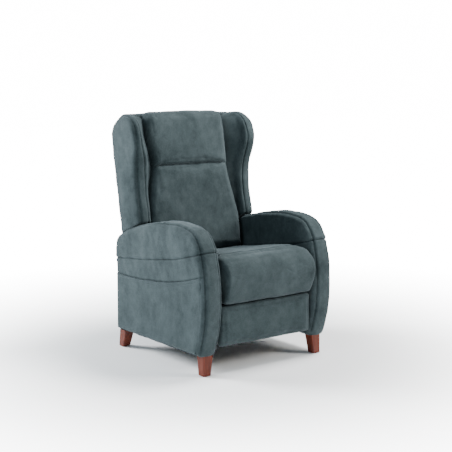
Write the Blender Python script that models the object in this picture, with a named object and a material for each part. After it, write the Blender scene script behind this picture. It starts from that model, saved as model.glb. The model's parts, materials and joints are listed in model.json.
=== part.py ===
"""Wing-back reclining armchair: frame, upholstery blocks, recline hinge and folding footrest.

The chair stands on z = 0 and faces -Y. Left and right are the sitter's: the left arm is at +X.
"""
import math

import bmesh
import bpy
from mathutils import Vector

# Overall size
HEIGHT = 1.100
HALF_WIDTH = 0.366
REACH = 0.398                 # from the centre to the seat roll in front and to the back behind
GAP = 0.0003                  # left between pieces that touch
SIDES = (("left", 1), ("right", -1))

# Arms
ARM_INNER = 0.262
ARM_REAR = 0.304
ARM_BOTTOM = 0.0903
ARM_FRONT_JOINT = -0.3297     # where the front band meets the side pads
ARM_BOARD = (0.300, 0.328)    # inner and outer face of the plywood arm board
SIDE_SEAM = ((0.304, 0.434), (0.044, 0.460), (-0.182, 0.492), (-0.3297, 0.528), (-0.353, 0.536))
ARM_CROWN = ((0.304, 0.434), (0.306, 0.490), (0.285, 0.545), (0.143, 0.598), (-0.030, 0.632),
             (-0.180, 0.6415), (-0.285, 0.624), (-0.335, 0.578), (-0.353, 0.536))
FRONT_CURVE = ((-0.354, 0.535), (-0.378, 0.440), (-0.385, 0.330), (-0.377, 0.218),
               (-0.340, ARM_BOTTOM))

# Side pocket, sewn to the outside of the right arm
POCKET_BACK = 0.358           # outer face of the arm pad behind the pocket
POCKET_CLOTH = 0.003
POCKET_FRONT = -0.3285
POCKET_BOTTOM = 0.0955
POCKET_SEAM = 0.008           # width of the sewn edge
POCKET_MOUTH = ((0.304, 0.361), (0.087, 0.359), (-0.116, 0.384), (-0.3285, 0.424))

# Feet
FOOT_TOP = 0.0897
FOOT_SIZES = (0.050, 0.039)   # top and bottom width
FOOT_TOPS = {"front": (0.3095, -0.3175), "rear": (0.3280, 0.2770)}
FOOT_BOTTOMS = {"front": (0.3155, -0.3235), "rear": (0.3185, 0.3165)}
GLIDE_HEIGHT = 0.003
GLIDE_RADIUS = 0.013

# Base box between the arms
BOARD_OUTER = 0.2615
BOARD_INNER = 0.2435
BASE_BOTTOM = 0.110
BASE_TOP = 0.2697
BASE_FRONT = -0.260
BASE_REAR = 0.280

# Backrest, in its own frame: y across its thickness, z up along it, origin on the hinge axis
HINGE_Y = 0.165
HINGE_Z = 0.330
LEAN = math.radians(10)
BACK_REAR_TOP = 0.768         # height along the back of the rear panel's edge, the furthest back
BACK_REAR = (REACH - HINGE_Y - BACK_REAR_TOP * math.sin(LEAN)) / math.cos(LEAN)
BACK_SKIN = 0.0345            # thickness of the rear panel
BACK_PANEL_BOTTOM = 0.165
BACK_PANEL_NARROW = 0.2605    # half width of the rear panel where it dips between the arms
BACK_PANEL_STEP = 0.262
BACK_FRAME_DEPTH = (-0.014, 0.026)
BACK_FRAME_NARROW = 0.2508    # half width between the arms
BACK_FRAME_WIDE = 0.2845      # half width above the arms
CUSHION_BACK = BACK_FRAME_DEPTH[0] - GAP
BACK_CUSHION_FRONT = -0.066
HEADREST_FRONT = -0.075
HEADREST_SEAM = 0.531
HEADREST_HALF = 0.200
WING_OUTER = 0.345
WING_SEAM = 0.272             # inner edge of the wing's front band
WING_ROOT_Y = -0.0225         # where the flared inner face meets the cushions
WING_BOARD = (0.285, 0.297)
ARM_CLEARANCE = 0.005         # between the bottom of a wing and the arm under it
# height of a section, place of its front edge, inner root, and how much it tilts
WING_SECTIONS = ((0.228, -0.064, 0.2505, 0.0), (0.275, -0.065, 0.2505, 0.0),
                 (0.330, -0.062, 0.2345, 0.0), (0.400, -0.057, 0.2145, 0.0),
                 (0.470, -0.060, 0.205, 0.0), (0.530, -0.080, 0.203, 0.0),
                 (0.575, -0.108, 0.203, 0.0), (0.613, -0.130, 0.203, 0.0),
                 (0.650, -0.137, 0.203, 0.0), (0.690, -0.129, 0.203, 0.03),
                 (0.722, -0.110, 0.203, 0.10), (0.752, -0.075, 0.203, 0.2147))
# rounded rear corner of the wing's top: what lies above and behind this line is cut away
WING_TOP_CUT = ((0.000, 0.850), (0.000, 0.7760), (0.034, 0.770), (0.066, 0.757), (0.088, 0.741),
                (0.104, 0.722), (0.200, 0.718), (0.200, 0.850))

# Seat
SEAT_HALF = 0.250
SEAT_FRAME_HALF = 0.2525
SEAT_FRAME_TOP = 0.310
SEAT_FRAME_FRONT = -0.306
SEAT_FRAME_REAR = 0.100
SEAT_RAIL = 0.040
SEAT_UNDERSIDE = 0.318
SEAT_TOP = ((-0.372, 0.314), (-0.388, 0.355), (-REACH, 0.405), (-0.388, 0.457), (-0.352, 0.497),
            (-0.300, 0.505), (-0.150, 0.488), (0.150, 0.440))
SPRING_WIRE = 0.00175         # wire radius
SPRING_CLIP = 0.0015          # height of the springs above the frame
SPRING_COUNT = 4

# Footrest: two stages of links fold up under the seat
LINK_LENGTH = 0.200
LINK_WIDTH = 0.024
LINK_THICK = 0.004
FOOT_PIVOT = (-0.270, 0.258)  # shaft under the seat frame
FOLDED_TILT = math.radians(10)
UPPER_LINK_X = 0.214
LOWER_LINK_X = 0.2085
BRACKET_X = 0.2195
BOARD_HINGE_X = 0.2025
ROD_RADIUS = 0.005
BORE_RADIUS = 0.00525
PANEL_HALF = 0.250
PANEL_LOW = 0.120
PANEL_HIGH = 0.300
PANEL_FRONT = -0.362
PANEL_BACK = -0.322
PANEL_BOARD = 0.012

FINISHES = {
    "velvet": ((0.085, 0.128, 0.142), 0.85, 0.0),
    "foot_wood": ((0.250, 0.075, 0.045), 0.40, 0.0),
    "frame_wood": ((0.560, 0.400, 0.240), 0.70, 0.0),
    "steel": ((0.060, 0.060, 0.065), 0.45, 0.8),
    "spring_steel": ((0.350, 0.350, 0.360), 0.35, 1.0),
    "lining": ((0.020, 0.020, 0.022), 0.95, 0.0),
    "plastic": ((0.030, 0.030, 0.030), 0.60, 0.0),
}


def clear_scene():
    for obj in list(bpy.data.objects):
        bpy.data.objects.remove(obj, do_unlink=True)


def finish_material(name, finish):
    colour, roughness, metallic = FINISHES[finish]
    material = bpy.data.materials.new(f"{name}_{finish}")
    material.use_nodes = True
    shader = material.node_tree.nodes["Principled BSDF"]
    shader.inputs["Base Color"].default_value = (*colour, 1.0)
    shader.inputs["Roughness"].default_value = roughness
    shader.inputs["Metallic"].default_value = metallic
    material.diffuse_color = (*colour, 1.0)
    return material


def add_object(name, bm, finish, parent=None, place=(0, 0, 0), tilt=0.0):
    """Turn a bmesh into a named object; tilt turns it about X."""
    bmesh.ops.recalc_face_normals(bm, faces=bm.faces[:])
    mesh = bpy.data.meshes.new(name)
    bm.to_mesh(mesh)
    bm.free()
    mesh.materials.append(finish_material(name, finish))
    obj = bpy.data.objects.new(name, mesh)
    bpy.context.collection.objects.link(obj)
    obj.parent = parent
    obj.location = place
    obj.rotation_euler = (tilt, 0.0, 0.0)
    return obj


def pivot(name, place, tilt=0.0):
    empty = bpy.data.objects.new(name, None)
    bpy.context.collection.objects.link(empty)
    empty.location = place
    empty.rotation_euler = (tilt, 0.0, 0.0)
    return empty


def curve_through(points, steps=3):
    """Points of a smooth curve that passes through every given point."""
    ends = [points[0], *points, points[-1]]
    path = []
    for before, start, end, after in zip(ends, ends[1:], ends[2:], ends[3:]):
        for step in range(steps):
            t = step / steps
            path.append(tuple(
                0.5 * (2 * q + (r - p) * t + (2 * p - 5 * q + 4 * r - s) * t ** 2
                       + (3 * q - p - 3 * r + s) * t ** 3)
                for p, q, r, s in zip(before, start, end, after)))
    return path + [tuple(points[-1])]


def plate(outline, axis, low, high):
    """Closed outline in the two other axes, extruded from low to high along axis."""
    index = "xyz".index(axis)

    def place(point, level):
        corner = list(point)
        corner.insert(index, level)
        return Vector(corner)

    bm = bmesh.new()
    face = bm.faces.new([bm.verts.new(place(point, low)) for point in outline])
    lifted = bmesh.ops.extrude_face_region(bm, geom=[face])
    moved = [item for item in lifted["geom"] if isinstance(item, bmesh.types.BMVert)]
    bmesh.ops.translate(bm, verts=moved, vec=place((0, 0), high - low))
    return bm


def box(low, high, bevel=0.0, segments=2):
    """Block between two corners, with its edges rounded by bevel."""
    bm = bmesh.new()
    bmesh.ops.create_cube(bm, size=1.0)
    low, high = Vector(low), Vector(high)
    bmesh.ops.scale(bm, verts=bm.verts[:], vec=high - low)
    bmesh.ops.translate(bm, verts=bm.verts[:], vec=(low + high) / 2)
    if bevel:
        bmesh.ops.bevel(bm, geom=bm.edges[:], offset=bevel, segments=segments, profile=0.5,
                        affect="EDGES", material=-1)
    return bm


def side_box(side, low, high, bevel=0.0, segments=2):
    """Block given for the left side; side -1 mirrors it to the right."""
    near, far = sorted((side * low[0], side * high[0]))
    return box((near, *low[1:]), (far, *high[1:]), bevel, segments)


def side_plate(outline, side, low, high):
    """Outline in Y and Z, extruded across X on the left side or its mirror."""
    near, far = sorted((side * low, side * high))
    return plate(outline, "x", near, far)


def loft(rings):
    """Closed solid through rings that have the same number of points."""
    bm = bmesh.new()
    loops = []
    for ring in rings:
        verts = [bm.verts.new(point) for point in ring]
        loops.append([bm.edges.new((a, b)) for a, b in zip(verts, verts[1:] + verts[:1])])
    for lower, upper in zip(loops, loops[1:]):
        bmesh.ops.bridge_loops(bm, edges=lower + upper)
    for end in (loops[0], loops[-1]):
        bmesh.ops.contextual_create(bm, geom=end)
    return bm


def rod(radius, low, high, segments=16):
    """Round bar along X."""
    outline = [(radius * math.cos(math.tau * i / segments), radius * math.sin(math.tau * i / segments))
               for i in range(segments)]
    return plate(outline, "x", low, high)


def cut(obj, name, tool, place=(0, 0, 0)):
    """Subtract a closed shape, given in obj's own frame, from obj."""
    cutter = add_object(name, tool, "steel", obj, place)
    cutter.hide_render = True
    cutter.display_type = "WIRE"
    modifier = obj.modifiers.new(name, "BOOLEAN")
    modifier.operation = "DIFFERENCE"
    modifier.solver = "EXACT"
    modifier.object = cutter


def bore(obj, name, place, radius=BORE_RADIUS):
    """Hole along X through a thin plate that lies at place."""
    depth = 0.010
    cut(obj, name, rod(radius, -depth, depth), place)


def shifted(path, dy=0.0, dz=0.0):
    return [(y + dy, z + dz) for y, z in path]


def build_arm(name, side):
    """One arm: plywood board between two side pads, with a front band and a padded top."""
    seam = curve_through(SIDE_SEAM)
    crown = curve_through(ARM_CROWN)
    under_seam = [point for point in shifted(seam, dz=-0.001) if point[0] > ARM_FRONT_JOINT - GAP]
    side_outline = [(ARM_FRONT_JOINT, ARM_BOTTOM), (ARM_REAR, ARM_BOTTOM), *under_seam]
    front = curve_through(FRONT_CURVE)
    front_back = ARM_FRONT_JOINT - GAP
    outer_face = HALF_WIDTH if side > 0 else POCKET_BACK

    board_outline = [(min(y, ARM_REAR - 0.012), z) for y, z in side_outline]
    add_object(f"arm_board_{name}", side_plate(board_outline, side, *ARM_BOARD), "frame_wood")
    add_object(f"arm_inner_pad_{name}",
               side_plate(side_outline, side, ARM_INNER, ARM_BOARD[0] - GAP), "velvet")
    add_object(f"arm_outer_pad_{name}",
               side_plate(side_outline, side, ARM_BOARD[1] + GAP, outer_face), "velvet")
    add_object(f"arm_top_pad_{name}",
               side_plate(crown + seam[-2:0:-1], side, ARM_INNER, HALF_WIDTH), "velvet")
    band_outline = [*front, (front_back, ARM_BOTTOM), (front_back, SIDE_SEAM[3][1] - 0.001)]
    add_object(f"arm_front_band_{name}",
               side_plate(band_outline, side, ARM_INNER, HALF_WIDTH), "velvet")


def build_pocket():
    """Flat cloth pocket outside the right arm, sewn along its front, bottom and rear edges."""
    mouth = curve_through(POCKET_MOUTH)
    cloth = [(POCKET_FRONT, POCKET_BOTTOM), (ARM_REAR, POCKET_BOTTOM), *mouth]
    add_object("side_pocket", side_plate(cloth, -1, HALF_WIDTH - POCKET_CLOTH, HALF_WIDTH), "velvet")

    front_in = POCKET_FRONT + POCKET_SEAM
    rear_in = ARM_REAR - POCKET_SEAM
    bottom_in = POCKET_BOTTOM + POCKET_SEAM
    rear_top = POCKET_MOUTH[0][1] - 0.010
    front_top = POCKET_MOUTH[-1][1] - 0.010
    edge = [(POCKET_FRONT, POCKET_BOTTOM), (ARM_REAR, POCKET_BOTTOM), (ARM_REAR, rear_top),
            (rear_in, rear_top), (rear_in, bottom_in), (front_in, bottom_in),
            (front_in, front_top), (POCKET_FRONT, front_top)]
    add_object("pocket_edge",
               side_plate(edge, -1, POCKET_BACK + GAP, HALF_WIDTH - POCKET_CLOTH - GAP), "velvet")


def square_ring(x, y, z, size):
    half = size / 2
    return [(x - half, y - half, z), (x + half, y - half, z), (x + half, y + half, z),
            (x - half, y + half, z)]


def build_feet(name, side):
    """Tapered wooden feet, the rear ones raked back, each on a plastic glide."""
    for end, (top_x, top_y) in FOOT_TOPS.items():
        bottom_x, bottom_y = FOOT_BOTTOMS[end]
        rings = [square_ring(side * bottom_x, bottom_y, GLIDE_HEIGHT + GAP, FOOT_SIZES[1]),
                 square_ring(side * top_x, top_y, FOOT_TOP, FOOT_SIZES[0])]
        foot = loft(rings)
        upright = [edge for edge in foot.edges
                   if abs(edge.verts[0].co.z - edge.verts[1].co.z) > FOOT_TOP / 2]
        bmesh.ops.bevel(foot, geom=upright, offset=0.003, segments=2, profile=0.5,
                        affect="EDGES", material=-1)
        add_object(f"foot_{end}_{name}", foot, "foot_wood")
        glide = bmesh.new()
        bmesh.ops.create_cone(glide, cap_ends=True, segments=16, radius1=GLIDE_RADIUS,
                              radius2=GLIDE_RADIUS, depth=GLIDE_HEIGHT)
        add_object(f"foot_glide_{end}_{name}", glide, "plastic",
                   place=(side * bottom_x, bottom_y, GLIDE_HEIGHT / 2))


def build_base():
    """Wooden box between the arms that carries the seat, with its rear panel and dust cover."""
    for name, side in SIDES:
        add_object(f"side_board_{name}",
                   side_box(side, (BOARD_INNER, BASE_FRONT, BASE_BOTTOM),
                            (BOARD_OUTER, BASE_REAR, BASE_TOP)), "frame_wood")
    rail_half = BOARD_INNER - GAP
    add_object("front_rail", box((-rail_half, -0.090, BASE_BOTTOM), (rail_half, -0.070, 0.145)),
               "frame_wood")
    add_object("rear_rail", box((-rail_half, 0.255, BASE_BOTTOM), (rail_half, 0.275, 0.250)),
               "frame_wood")
    add_object("rear_panel", box((-BOARD_OUTER, 0.2853, 0.100), (BOARD_OUTER, 0.302, 0.405),
                                 bevel=0.005), "velvet")
    add_object("dust_cover", box((-0.258, -0.090, 0.107), (0.258, BASE_REAR, BASE_BOTTOM - GAP)),
               "lining")


def build_back_hinge(name, side):
    """Fixed hinge plate and pin that the back swings on."""
    hinge_plate = add_object(f"back_hinge_plate_{name}",
                             side_box(side, (0.2565, 0.130, BASE_TOP + GAP), (0.2612, 0.200, 0.360)),
                             "steel")
    bore(hinge_plate, f"back_hinge_bore_{name}", (side * 0.259, HINGE_Y, HINGE_Z), 0.0064)
    add_object(f"back_hinge_pin_{name}", rod(0.006, -0.0054, 0.0054), "steel",
               place=(side * 0.2560, HINGE_Y, HINGE_Z))


def build_seat(seat):
    """Seat frame with zigzag springs under the cushion; the whole seat glides forward."""
    frame = add_object("seat_frame",
                       box((-SEAT_FRAME_HALF, SEAT_FRAME_FRONT, BASE_TOP + GAP),
                           (SEAT_FRAME_HALF, SEAT_FRAME_REAR, SEAT_FRAME_TOP)), "frame_wood", seat)
    cut(frame, "seat_frame_window",
        box((SEAT_RAIL - SEAT_FRAME_HALF, SEAT_FRAME_FRONT + SEAT_RAIL, 0.20),
            (SEAT_FRAME_HALF - SEAT_RAIL, SEAT_FRAME_REAR - SEAT_RAIL, 0.40)))
    underside = [(0.150, SEAT_UNDERSIDE), (-0.325, SEAT_UNDERSIDE)]
    outline = curve_through(SEAT_TOP, steps=2) + underside
    cushion = plate(outline, "x", -SEAT_HALF, SEAT_HALF)
    add_object("seat_cushion", cushion, "velvet", seat)
    for index in range(SPRING_COUNT):
        spread = SEAT_FRAME_HALF - SEAT_RAIL
        x = spread * (2 * index + 1 - SPRING_COUNT) / SPRING_COUNT
        build_spring(f"seat_spring_{index + 1}", seat, x)


def build_spring(name, seat, x):
    """Zigzag wire spring from the front rail to the rear rail."""
    start = SEAT_FRAME_FRONT + 0.010
    end = SEAT_FRAME_REAR - 0.010
    bends = 9
    swing = 0.022
    level = SEAT_FRAME_TOP + SPRING_WIRE + SPRING_CLIP
    samples = 6 * bends
    curve = bpy.data.curves.new(name, "CURVE")
    curve.dimensions = "3D"
    curve.bevel_depth = SPRING_WIRE
    curve.bevel_resolution = 0
    curve.render_resolution_u = 0
    curve.use_fill_caps = True
    spline = curve.splines.new("POLY")
    spline.points.add(samples)
    for index, point in enumerate(spline.points):
        along = index / samples
        sway = swing * math.sin(math.pi * bends * along)
        point.co = (x + sway, start + (end - start) * along, level, 1.0)
    curve.materials.append(finish_material(name, "spring_steel"))
    obj = bpy.data.objects.new(name, curve)
    bpy.context.collection.objects.link(obj)
    obj.parent = seat


def link_outline(length):
    """Flat bar with round ends, from its own pivot to one at length along Y."""
    radius = LINK_WIDTH / 2
    turns = [math.pi * i / 6 for i in range(7)]
    far = [(length + radius * math.sin(turn), -radius * math.cos(turn)) for turn in turns]
    near = [(-radius * math.sin(turn), radius * math.cos(turn)) for turn in turns]
    return far + near


def build_link(name, side, x, joint, tilt):
    """Steel link bar, bored at both ends."""
    link = add_object(name, side_plate(link_outline(LINK_LENGTH), side, x, x + LINK_THICK), "steel",
                      joint, tilt=tilt)
    middle = side * (x + LINK_THICK / 2)
    bore(link, f"{name}_bore_near", (middle, 0.0, 0.0))
    bore(link, f"{name}_bore_far", (middle, LINK_LENGTH, 0.0))


def build_footrest(seat):
    """Brackets and shaft on the seat, two stages of links, and the padded board they carry."""
    pivot_y, pivot_z = FOOT_PIVOT
    knee_y = pivot_y + LINK_LENGTH * math.cos(FOLDED_TILT)
    knee_z = pivot_z - LINK_LENGTH * math.sin(FOLDED_TILT)
    ankle_z = knee_z - LINK_LENGTH * math.sin(FOLDED_TILT)
    shaft_joint = pivot("footrest_shaft_axis", (0, pivot_y, pivot_z))
    knee_joint = pivot("knee_axis", (0, knee_y, knee_z))
    ankle_joint = pivot("ankle_axis", (0, pivot_y, ankle_z))

    for name, side in SIDES:
        bracket = add_object(f"footrest_bracket_{name}",
                             side_box(side, (BRACKET_X, pivot_y - 0.028, pivot_z - 0.016),
                                      (BRACKET_X + LINK_THICK, pivot_y + 0.028, BASE_TOP)),
                             "steel", seat)
        bore(bracket, f"footrest_bracket_bore_{name}",
             (side * (BRACKET_X + LINK_THICK / 2), pivot_y, pivot_z))
        build_link(f"upper_link_{name}", side, UPPER_LINK_X, shaft_joint, -FOLDED_TILT)
        build_link(f"lower_link_{name}", side, LOWER_LINK_X, knee_joint, math.pi + FOLDED_TILT)
        hinge = add_object(f"board_hinge_{name}",
                           side_box(side, (BOARD_HINGE_X, PANEL_BACK + PANEL_BOARD + 2 * GAP - pivot_y,
                                           -0.022),
                                    (BOARD_HINGE_X + LINK_THICK, 0.013, 0.024)), "steel", ankle_joint)
        bore(hinge, f"board_hinge_bore_{name}",
             (side * (BOARD_HINGE_X + LINK_THICK / 2), 0.0, 0.0))

    shaft_half = BRACKET_X + LINK_THICK + 0.002
    add_object("footrest_shaft", rod(ROD_RADIUS, -shaft_half, shaft_half), "steel", seat,
               (0, pivot_y, pivot_z))
    knee_half = UPPER_LINK_X + LINK_THICK + 0.001
    add_object("knee_rod", rod(ROD_RADIUS, -knee_half, knee_half), "steel", knee_joint)
    ankle_half = LOWER_LINK_X + LINK_THICK + 0.001
    add_object("ankle_rod", rod(ROD_RADIUS, -ankle_half, ankle_half), "steel", ankle_joint)

    add_object("footrest_board",
               box((-0.235, PANEL_BACK + GAP - pivot_y, PANEL_LOW + 0.006 - ankle_z),
                   (0.235, PANEL_BACK + GAP + PANEL_BOARD - pivot_y, PANEL_HIGH - 0.006 - ankle_z)),
               "frame_wood", ankle_joint)
    add_object("footrest_pad",
               box((-PANEL_HALF, PANEL_FRONT - pivot_y, PANEL_LOW - ankle_z),
                   (PANEL_HALF, PANEL_BACK - pivot_y, PANEL_HIGH - ankle_z), bevel=0.012),
               "velvet", ankle_joint)


def build_back_frame(back):
    """Wooden back frame, narrow between the arms and wide above them, with two open fields."""
    low, high = 0.050, 0.7480
    step = 0.290
    right = [(BACK_FRAME_NARROW, low), (BACK_FRAME_NARROW, step), (BACK_FRAME_WIDE, step),
             (BACK_FRAME_WIDE, high)]
    left = [(-x, z) for x, z in reversed(right)]
    frame = add_object("back_frame", plate(right + left, "y", *BACK_FRAME_DEPTH), "frame_wood", back)
    for name, field_low, field_high in (("lower", 0.110, 0.400), ("upper", 0.460, 0.688)):
        cut(frame, f"back_frame_field_{name}",
            box((-0.190, -0.10, field_low), (0.190, 0.10, field_high)))


def build_back_cushions(back):
    """Back cushion, narrowing upwards between the wings, and the headrest cushion above it."""
    half_widths = ((0.113, 0.247), (0.250, 0.247), (0.316, 0.234), (0.390, 0.214),
                   (HEADREST_SEAM - 0.003, 0.190))
    right = [(half, z) for z, half in half_widths]
    left = [(-x, z) for x, z in reversed(right)]
    cushion = plate(right + left, "y", BACK_CUSHION_FRONT, CUSHION_BACK)
    add_object("back_cushion", cushion, "velvet", back)
    add_object("headrest_cushion", box((-HEADREST_HALF, HEADREST_FRONT, HEADREST_SEAM),
                                       (HEADREST_HALF, CUSHION_BACK, 0.766), bevel=0.014),
               "velvet", back)


def build_back_panel(back):
    """Padded rear panel of the back, which rolls over the top rail."""
    def level(y):
        """Height along the back of a point at the chair's full height."""
        return (HEIGHT - HINGE_Z + y * math.sin(LEAN)) / math.cos(LEAN)

    front = BACK_REAR - BACK_SKIN
    roll_front = CUSHION_BACK + 2 * GAP
    outline = [(BACK_REAR, BACK_PANEL_BOTTOM), (BACK_REAR, BACK_REAR_TOP),
               (BACK_REAR - 0.008, 0.784), (0.078, level(0.078) - 0.004), (0.060, level(0.060)),
               (roll_front, level(roll_front)), (roll_front, 0.7483), (front, 0.7483),
               (front, BACK_PANEL_BOTTOM)]
    panel = add_object("back_panel", plate(outline, "x", -BACK_FRAME_WIDE, BACK_FRAME_WIDE), "velvet",
                       back)
    for name, side in SIDES:
        cut(panel, f"back_panel_notch_{name}",
            side_box(side, (BACK_PANEL_NARROW, 0.0, 0.0), (HALF_WIDTH, 0.2, BACK_PANEL_STEP)))


def wing_ring(side, height, front, root, tilt):
    """One section of a wing pad: outer face, front band, flared inner face, slot for the board."""
    slot_front = front + 0.030
    inner, outer = WING_BOARD[0] - GAP, WING_BOARD[1] + GAP
    slot_rear = BACK_REAR - BACK_SKIN
    section = [(inner, BACK_REAR), (0.315, BACK_REAR - 0.003), (0.333, BACK_REAR - 0.022),
               (WING_OUTER, BACK_REAR - 0.050), (WING_OUTER, front + 0.030), (0.334, front + 0.010),
               (0.310, front), (0.288, front + 0.006), (WING_SEAM, front + 0.020),
               (root, WING_ROOT_Y), (root, CUSHION_BACK), (inner, CUSHION_BACK),
               (inner, slot_front + GAP), (outer, slot_front), (outer, slot_rear),
               (inner, slot_rear)]
    return [(side * x, y, height + tilt * (y - front)) for x, y in section]


def arm_clearance_outline():
    """Outline of the arm's crown in the back's frame, pushed out from the hinge by a clearance."""
    outline = []
    for y, z in curve_through(ARM_CROWN):
        across, up = y - HINGE_Y, z - HINGE_Z
        grown = 1 + ARM_CLEARANCE / math.hypot(across, up)
        outline.append((grown * (across * math.cos(LEAN) - up * math.sin(LEAN)),
                        grown * (across * math.sin(LEAN) + up * math.cos(LEAN))))
    return outline


def build_wing(name, side, back):
    """Wing: a plywood board in a pad that wraps round its front, outside and rear.

    The pad's top is rounded at the rear, and its bottom follows the arm that it stands over.
    """
    rings = [wing_ring(side, *section) for section in WING_SECTIONS]
    pad = add_object(f"wing_pad_{name}", loft(rings), "velvet", back)
    cut(pad, f"wing_top_cut_{name}", side_plate(WING_TOP_CUT, side, 0.15, 0.40))
    cut(pad, f"wing_arm_cut_{name}", side_plate(arm_clearance_outline(), side, 0.15, 0.40))
    front_edge = [(front + 0.0315, height) for height, front, root, tilt in WING_SECTIONS[1:-1]]
    rear = BACK_REAR - BACK_SKIN - GAP
    outline = [*front_edge, (rear, WING_SECTIONS[-2][0]), (rear, WING_SECTIONS[1][0])]
    add_object(f"wing_board_{name}", side_plate(outline, side, *WING_BOARD), "frame_wood", back)


def build_back_bracket(name, side, back):
    """Steel strap on the side of the back frame, bored for the hinge pin."""
    bracket = add_object(f"back_bracket_{name}",
                         side_box(side, (0.2512, -0.016, -0.018), (0.2552, 0.020, 0.220)), "steel",
                         back)
    bore(bracket, f"back_bracket_bore_{name}", (side * 0.2532, 0.0, 0.0), 0.0064)


def build_chair():
    clear_scene()
    for name, side in SIDES:
        build_arm(name, side)
        build_feet(name, side)
        build_back_hinge(name, side)
    build_pocket()
    build_base()

    seat = pivot("seat_slide", (0, 0, 0))
    build_seat(seat)
    build_footrest(seat)

    back = pivot("backrest_axis", (0, HINGE_Y, HINGE_Z), -LEAN)
    build_back_frame(back)
    build_back_cushions(back)
    build_back_panel(back)
    for name, side in SIDES:
        build_wing(name, side, back)
        build_back_bracket(name, side, back)


build_chair()
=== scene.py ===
# %% [markdown]
# # A wing-back reclining armchair
#
# The chair's frame, links and hinges come from a finished CAD model. This script dresses it: it
# makes the padded arms, wings, cushions and cloth parts around that frame, gives every surface a
# procedural finish, and sets up a small studio. Left and right are the sitter's, so the left arm
# is at +X, and the chair faces -Y.

# %% Load the frame
import json
import math

import bmesh
import bpy
import numpy as np
from mathutils import Matrix, Vector


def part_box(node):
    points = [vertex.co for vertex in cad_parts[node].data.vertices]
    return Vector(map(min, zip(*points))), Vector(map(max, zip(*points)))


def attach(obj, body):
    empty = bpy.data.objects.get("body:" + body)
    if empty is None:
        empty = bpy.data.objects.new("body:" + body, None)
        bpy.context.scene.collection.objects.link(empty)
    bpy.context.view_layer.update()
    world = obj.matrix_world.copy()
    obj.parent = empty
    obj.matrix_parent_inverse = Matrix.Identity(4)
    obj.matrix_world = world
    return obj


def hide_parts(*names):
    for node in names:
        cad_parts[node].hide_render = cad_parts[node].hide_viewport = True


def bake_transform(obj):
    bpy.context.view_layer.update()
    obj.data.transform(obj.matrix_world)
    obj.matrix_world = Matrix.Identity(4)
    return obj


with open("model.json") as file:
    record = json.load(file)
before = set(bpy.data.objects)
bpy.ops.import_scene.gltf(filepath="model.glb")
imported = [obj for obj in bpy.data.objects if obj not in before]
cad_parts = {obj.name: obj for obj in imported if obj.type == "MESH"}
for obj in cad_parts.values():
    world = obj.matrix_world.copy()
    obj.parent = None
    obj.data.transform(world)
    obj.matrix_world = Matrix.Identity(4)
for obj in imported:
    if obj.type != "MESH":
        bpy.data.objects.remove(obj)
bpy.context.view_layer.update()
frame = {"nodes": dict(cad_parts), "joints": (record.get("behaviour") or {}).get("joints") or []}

scene = bpy.context.scene
SIDES = (("left", 1), ("right", -1))

# %% [markdown]
# ## The camera
#
# A long lens from a few metres away keeps the chair's edges nearly parallel. The camera stands to
# the sitter's right, a little higher than the top of the chair, and looks slightly down on it.

# %% Camera
CAMERA_PLACE = (-2.869, -3.807, 1.2725)
CAMERA_TURN = (math.radians(81.8), 0.0, math.radians(-37.46))
CAMERA_LENS = 82.67

camera_data = bpy.data.cameras.new("studio_camera")
camera_data.lens = CAMERA_LENS
camera = bpy.data.objects.new("studio_camera", camera_data)
camera.location = CAMERA_PLACE
camera.rotation_euler = CAMERA_TURN
scene.collection.objects.link(camera)
scene.camera = camera
print("camera lens", CAMERA_LENS, "mm")

# %% [markdown]
# ## Node helpers for the materials
#
# Each material is built from a few nodes. A small helper adds a node, sets its values and links
# its inputs, so that a finish reads as a short list.


# %% Node helpers
def add_node(tree, kind, values=None, links=None, **settings):
    """A new node, with input values and links given by input name or number."""
    node = tree.nodes.new(kind)
    for key, value in settings.items():
        setattr(node, key, value)
    for key, value in (values or {}).items():
        node.inputs[key].default_value = value
    for key, source in (links or {}).items():
        tree.links.new(source, node.inputs[key])
    return node


def new_group(name, inputs, outputs):
    """An empty shader group; inputs are (name, socket kind, default) and outputs (name, kind)."""
    group = bpy.data.node_groups.new(name, "ShaderNodeTree")
    for label, kind, default in inputs:
        socket = group.interface.new_socket(label, in_out="INPUT", socket_type=kind)
        if default is not None:
            socket.default_value = default
    for label, kind in outputs:
        group.interface.new_socket(label, in_out="OUTPUT", socket_type=kind)
    return group, group.nodes.new("NodeGroupInput"), group.nodes.new("NodeGroupOutput")


def new_material(name, shader_values):
    """A material with its Principled shader; values that never vary sit on the shader itself."""
    material = bpy.data.materials.new(name)
    material.use_nodes = True
    shader = material.node_tree.nodes["Principled BSDF"]
    for key, value in shader_values.items():
        shader.inputs[key].default_value = value
    return material, material.node_tree, shader


def mix_colours(tree, factor, dark, light):
    """A colour between dark and light, picked by factor."""
    node = add_node(tree, "ShaderNodeMix", links={0: factor}, data_type="RGBA")
    node.inputs[6].default_value = (*dark, 1.0)
    node.inputs[7].default_value = (*light, 1.0)
    return node.outputs[2]


# %% [markdown]
# ## Velvet with a brushed nap
#
# The cover is a short-piled velvet. Wherever a hand has stroked the pile it lies another way and
# looks lighter or darker, so the cloth is mottled in soft upright dabs. Three noises make that: a
# slow one for broad patches, one stretched along Z for the dabs, and a fine one for the pile
# itself. Seams look dark, partly because the stitches crush the pile and partly from painted
# shade for the shadow in their grooves and under overhangs. Each piece carries a point attribute
# that says how close a point is to a seam. It also holds a painted shadow along the pocket's mouth
# and painted shade on the seat roll's drawn-in end, and the colour gets darker where it is high.
# The group is built once and shared.


# %% The nap group
PILE_STRENGTH = 0.80         # how much the fine pile counts in the shade
CRUSHED_AND_SHADED = 0.75               # how much darker it gets where the seam attribute is high: crushed pile and painted shade


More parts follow.
